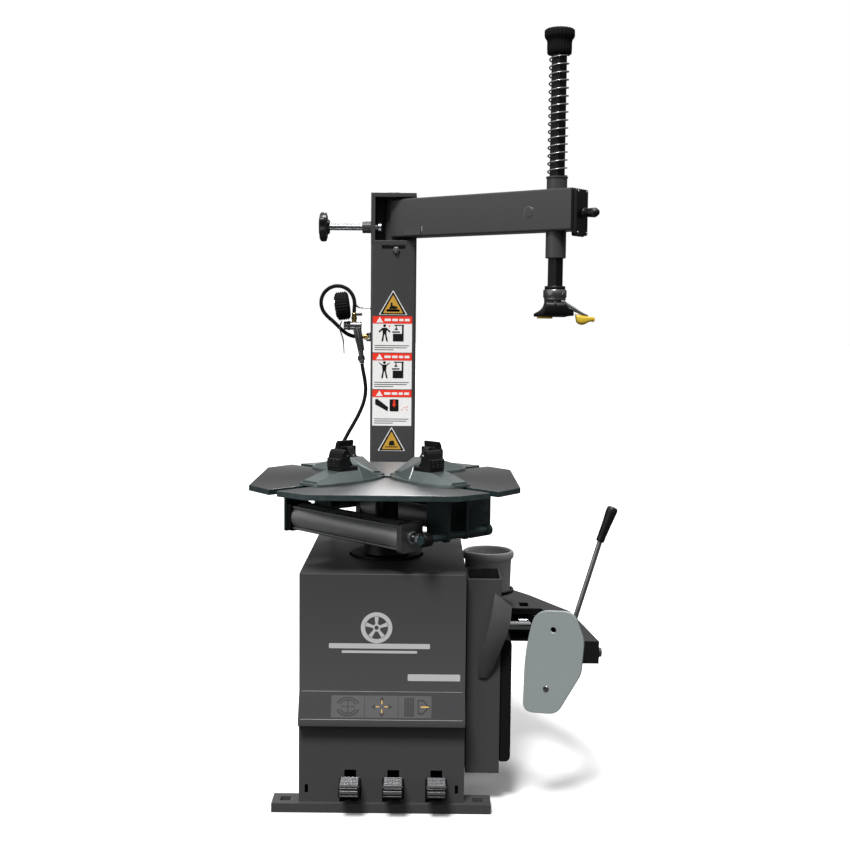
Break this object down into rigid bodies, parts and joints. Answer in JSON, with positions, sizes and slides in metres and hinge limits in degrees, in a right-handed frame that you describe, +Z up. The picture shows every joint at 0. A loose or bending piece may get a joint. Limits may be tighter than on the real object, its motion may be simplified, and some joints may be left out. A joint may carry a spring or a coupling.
{
  "type": "tire changer",
  "caption": "Workshop tire changer: steel cabinet with foot pedals, clamping turntable, swing arm with sprung hex shaft and mount head, and a side bead breaker arm.",
  "frame": {"origin": "on the floor under the turntable's axis", "axes": "+Z up along the turntable's axis, +X to the operator's right, -Y to the pedals and the operator"},
  "size_m": [0.8785, 0.915, 1.921],
  "materials": {
    "grey_paint": "satin dark grey powder coat",
    "black_metal": "satin black enamel",
    "black_rubber": "matte moulded rubber",
    "turned_steel": "lathe-turned, lightly oiled",
    "chrome_rod": "ground and hard-chromed",
    "cast_steel": "machined casting",
    "aluminium_barrel": "drawn and anodised",
    "pale_coat": "pale grey powder coat",
    "pale_plastic": "moulded pale grey plastic",
    "yellow_plastic": "moulded yellow nylon",
    "brass": "machined brass"
  },
  "bodies": {
    "frame": {"base_frame": "black_metal", "cabinet_shell": "grey_paint", "left_side_cover": "grey_paint", "right_housing": "grey_paint", "rubber_pad": "black_rubber", "rod_guard": "grey_paint", "column": "grey_paint", "head_bracket": "grey_paint", "arm_pivot_pin": "turned_steel", "gearbox": "black_metal", "motor": "black_metal", "drive_belt": "black_rubber", "rotary_union": "black_metal", "arm_hinge_pin": "turned_steel", "pedal_valves": "aluminium_barrel", "bucket_ring": "black_metal", "gun_body": "turned_steel", "gun_gauge": "black_rubber", "inlet_hose": "black_rubber", "outlet_hose": "black_rubber", "tyre_chuck": "brass"},
    "turntable": {"turntable_plate": "turned_steel", "turntable_shaft": "turned_steel"},
    "slide_1": {"jaw_slide_1": "cast_steel", "jaw_1": "turned_steel"},
    "slide_2": {"jaw_slide_2": "cast_steel", "jaw_2": "turned_steel", "clamp_cylinder_1": "aluminium_barrel", "clamp_rod_2": "chrome_rod"},
    "slide_3": {"jaw_slide_3": "cast_steel", "jaw_3": "turned_steel"},
    "slide_4": {"jaw_slide_4": "cast_steel", "jaw_4": "turned_steel", "clamp_cylinder_2": "aluminium_barrel", "clamp_rod_1": "chrome_rod"},
    "gear_pulley": {"gearbox_pulley": "cast_steel"},
    "drive_pulley": {"motor_pulley": "cast_steel"},
    "stop_pad": {"stop_pad": "turned_steel"},
    "stop_screw": {"stop_screw": "black_metal"},
    "arm": {"swing_arm": "grey_paint", "lock_housing": "grey_paint", "return_spring": "chrome_rod"},
    "lock_lever": {"lock_lever": "black_metal"},
    "shaft": {"hex_shaft": "black_metal", "shaft_cap": "black_rubber", "mount_head": "cast_steel", "head_insert_toe": "yellow_plastic", "head_insert_finger": "yellow_plastic"},
    "breaker_arm": {"bead_breaker_arm": "grey_paint"},
    "breaker_cylinder": {"bead_breaker_cylinder": "aluminium_barrel"},
    "breaker_rod": {"bead_breaker_rod": "chrome_rod"},
    "blade": {"blade_support": "black_metal", "breaker_blade": "pale_coat", "blade_bracket": "black_metal", "blade_handle": "turned_steel"},
    "pedal_left": {"pedal_left": "black_metal"},
    "pedal_middle": {"pedal_middle": "black_metal"},
    "pedal_right": {"pedal_right": "black_metal"},
    "bucket": {"bucket": "pale_plastic"},
    "trigger": {"gun_trigger": "turned_steel"}
  },
  "joints": [
    {"name": "turntable_spin", "type": "hinge", "parent": "frame", "child": "turntable", "pos_m": [0, 0, 0.76], "axis": [0, 0, 1], "continuous": true},
    {"name": "gear_pulley_spin", "type": "hinge", "parent": "frame", "child": "gear_pulley", "pos_m": [-0.105, 0, 0.505], "axis": [1, 0, 0], "continuous": true},
    {"name": "motor_pulley_spin", "type": "hinge", "parent": "frame", "child": "drive_pulley", "pos_m": [-0.105, -0.03, 0.17], "axis": [1, 0, 0], "continuous": true},
    {"name": "jaw_slide_1", "type": "slide", "parent": "turntable", "child": "slide_1", "axis": [-0.7071, -0.7071, 0], "range_m": [0, 0.095]},
    {"name": "jaw_slide_2", "type": "slide", "parent": "turntable", "child": "slide_2", "axis": [-0.7071, 0.7071, 0], "range_m": [0, 0.095]},
    {"name": "jaw_slide_3", "type": "slide", "parent": "turntable", "child": "slide_3", "axis": [0.7071, 0.7071, 0], "range_m": [0, 0.095]},
    {"name": "jaw_slide_4", "type": "slide", "parent": "turntable", "child": "slide_4", "axis": [0.7071, -0.7071, 0], "range_m": [0, 0.095]},
    {"name": "arm_swing", "type": "hinge", "parent": "frame", "child": "arm", "pos_m": [0, 0.51, 1.45], "axis": [0, 0, 1], "range_deg": [-52, 35]},
    {"name": "shaft_slide", "type": "slide", "parent": "arm", "child": "shaft", "axis": [0, 0, 1], "range_m": [-0.24, 0], "stiffness_N_per_m": 420, "springref_m": 0.3, "deforming": ["return_spring"]},
    {"name": "lock_lever_turn", "type": "hinge", "parent": "arm", "child": "lock_lever", "pos_m": [0.50686, 0.12752, 1.444], "axis": [0.7982, -0.6023, 0], "range_deg": [0, 70]},
    {"name": "stop_pad_slide", "type": "slide", "parent": "frame", "child": "stop_pad", "axis": [1, 0, 0], "range_m": [-0.006, 0.016]},
    {"name": "stop_screw_turn", "type": "hinge", "parent": "stop_pad", "child": "stop_screw", "pos_m": [-0.19, 0.464, 1.427], "axis": [1, 0, 0], "range_deg": [-540, 1440]},
    {"name": "breaker_arm_swing", "type": "hinge", "parent": "frame", "child": "breaker_arm", "pos_m": [0.305, 0.29, 0.366], "axis": [0, 0, 1], "range_deg": [0, 35]},
    {"name": "breaker_cylinder_swing", "type": "hinge", "parent": "frame", "child": "breaker_cylinder", "pos_m": [0.06, 0.1, 0.362], "axis": [0, 0, 1], "range_deg": [-0.2, 11.5]},
    {"name": "breaker_rod_slide", "type": "slide", "parent": "breaker_cylinder", "child": "breaker_rod", "axis": [1, 0, 0], "range_m": [-0.001, 0.103]},
    {"name": "blade_tilt", "type": "hinge", "parent": "breaker_arm", "child": "blade", "pos_m": [0.45, -0.215, 0.378], "axis": [1, 0, 0], "range_deg": [-10, 10]},
    {"name": "pedal_left_press", "type": "hinge", "parent": "frame", "child": "pedal_left", "pos_m": [-0.074, -0.165, 0.05], "axis": [1, 0, 0], "range_deg": [-10, 10], "stiffness_Nm_per_rad": 150},
    {"name": "pedal_middle_press", "type": "hinge", "parent": "frame", "child": "pedal_middle", "pos_m": [0.028, -0.165, 0.05], "axis": [1, 0, 0], "range_deg": [0, 10], "stiffness_Nm_per_rad": 60, "springref_deg": -5.73},
    {"name": "pedal_right_press", "type": "hinge", "parent": "frame", "child": "pedal_right", "pos_m": [0.13, -0.165, 0.05], "axis": [1, 0, 0], "range_deg": [0, 10], "stiffness_Nm_per_rad": 60, "springref_deg": -5.73},
    {"name": "bucket_lift", "type": "slide", "parent": "frame", "child": "bucket", "axis": [0, 0, 1], "range_m": [0, 0.12]},
    {"name": "trigger_press", "type": "hinge", "parent": "frame", "child": "trigger", "pos_m": [-0.149, 0.47, 1.155], "axis": [0, -1, 0], "range_deg": [0, 8], "stiffness_Nm_per_rad": 1.5, "springref_deg": -11.46}
  ],
  "couplings": [
    {"joint": "gear_pulley_spin", "follows": "turntable_spin", "ratio": 60},
    {"joint": "motor_pulley_spin", "follows": "turntable_spin", "ratio": 88.235},
    {"joint": "jaw_slide_2", "follows": "jaw_slide_1", "ratio": 1},
    {"joint": "jaw_slide_3", "follows": "jaw_slide_1", "ratio": 1},
    {"joint": "jaw_slide_4", "follows": "jaw_slide_1", "ratio": 1},
    {"joint": "stop_pad_slide", "follows": "stop_screw_turn", "m_per_rad": 0.0006366},
    {"joint": "breaker_cylinder_swing", "follows": "breaker_arm_swing", "ratio": 0.32},
    {"joint": "breaker_rod_slide", "follows": "breaker_arm_swing", "m_per_rad": 0.1662}
  ]
}
